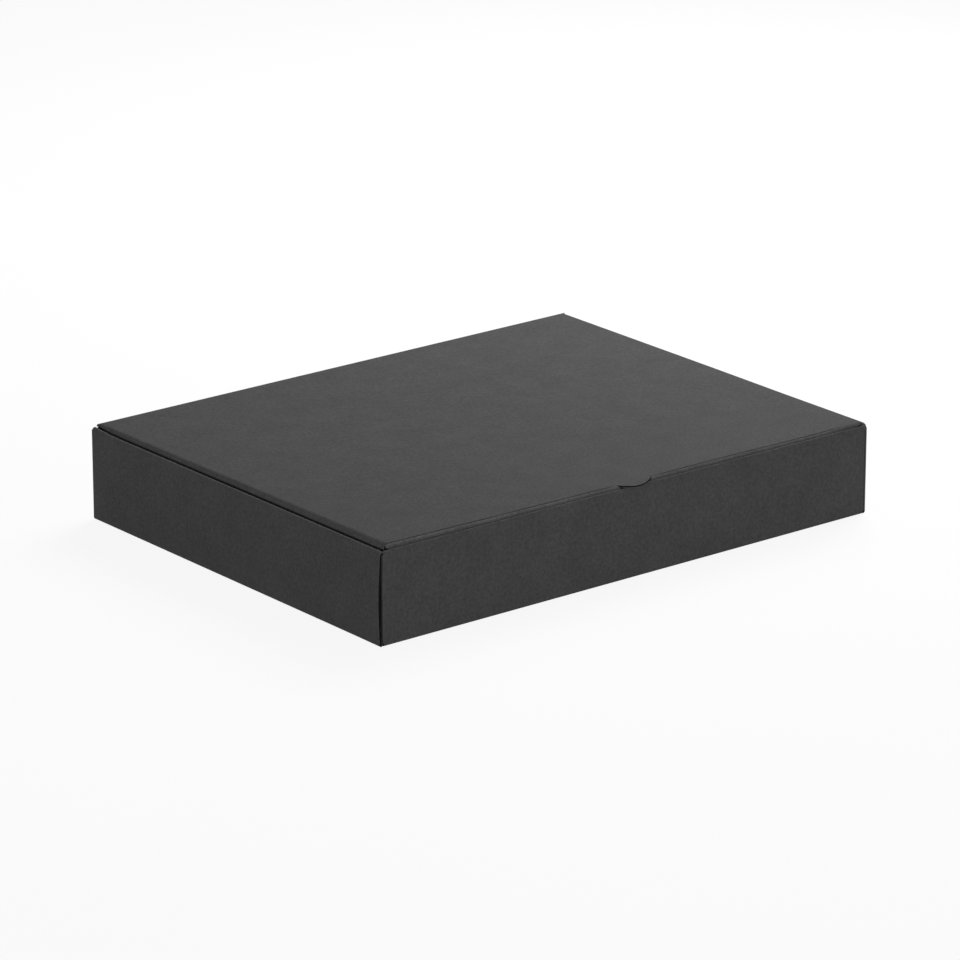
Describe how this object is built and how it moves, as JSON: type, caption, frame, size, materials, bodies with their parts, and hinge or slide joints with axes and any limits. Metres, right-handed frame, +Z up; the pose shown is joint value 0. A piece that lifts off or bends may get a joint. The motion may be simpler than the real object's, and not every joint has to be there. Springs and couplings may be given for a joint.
{
  "type": "hinged lid folding carton",
  "caption": "Flat black board gift carton with rolled side walls and a hinged lid that tucks in behind the front wall, opened by a half-moon thumb tab.",
  "frame": {"origin": "middle of the base's underside, on the surface that the box stands on", "axes": "+X along the length, -Y towards the front wall with the thumb tab, +Y towards the back wall that carries the lid, +Z up"},
  "size_m": [0.31, 0.2388, 0.0499],
  "materials": {
    "black_board": "matte"
  },
  "bodies": {
    "tray": {"base_panel": "black_board", "front_wall": "black_board", "back_wall": "black_board", "front_base_crease": "black_board", "back_base_crease": "black_board", "left_base_crease": "black_board", "left_side_outer_panel": "black_board", "left_side_roll": "black_board", "left_side_inner_panel": "black_board", "right_base_crease": "black_board", "right_side_outer_panel": "black_board", "right_side_roll": "black_board", "right_side_inner_panel": "black_board", "front_left_corner_crease": "black_board", "front_left_dust_flap": "black_board", "front_right_corner_crease": "black_board", "front_right_dust_flap": "black_board", "back_left_corner_crease": "black_board", "back_left_dust_flap": "black_board", "back_right_corner_crease": "black_board", "back_right_dust_flap": "black_board", "lid_hinge_crease": "black_board"},
    "lid": {"lid_panel": "black_board", "tuck_flap_crease": "black_board", "left_wing_crease": "black_board", "right_wing_crease": "black_board"},
    "tuck_flap": {"tuck_flap": "black_board"},
    "left_wing": {"left_lid_wing": "black_board"},
    "right_wing": {"right_lid_wing": "black_board"}
  },
  "joints": [
    {"name": "lid_hinge", "type": "hinge", "parent": "tray", "child": "lid", "pos_m": [0, 0.11806, 0.04946], "axis": [-1, 0, 0], "range_deg": [0, 180], "deforming": ["lid_hinge_crease"]},
    {"name": "tuck_flap_hinge", "type": "hinge", "parent": "lid", "child": "tuck_flap", "pos_m": [0, -0.11681, 0.04946], "axis": [-1, 0, 0], "range_deg": [0, 45], "deforming": ["tuck_flap_crease"]},
    {"name": "left_wing_hinge", "type": "hinge", "parent": "lid", "child": "left_wing", "pos_m": [-0.15111, 0, 0.04946], "axis": [0, 1, 0], "range_deg": [0, 45], "deforming": ["left_wing_crease"]},
    {"name": "right_wing_hinge", "type": "hinge", "parent": "lid", "child": "right_wing", "pos_m": [0.15111, 0, 0.04946], "axis": [0, -1, 0], "range_deg": [0, 45], "deforming": ["right_wing_crease"]}
  ],
  "couplings": [
    {"joint": "tuck_flap_hinge", "follows": "lid_hinge", "ratio": 0.25},
    {"joint": "left_wing_hinge", "follows": "lid_hinge", "ratio": 0.25},
    {"joint": "right_wing_hinge", "follows": "lid_hinge", "ratio": 0.25}
  ]
}
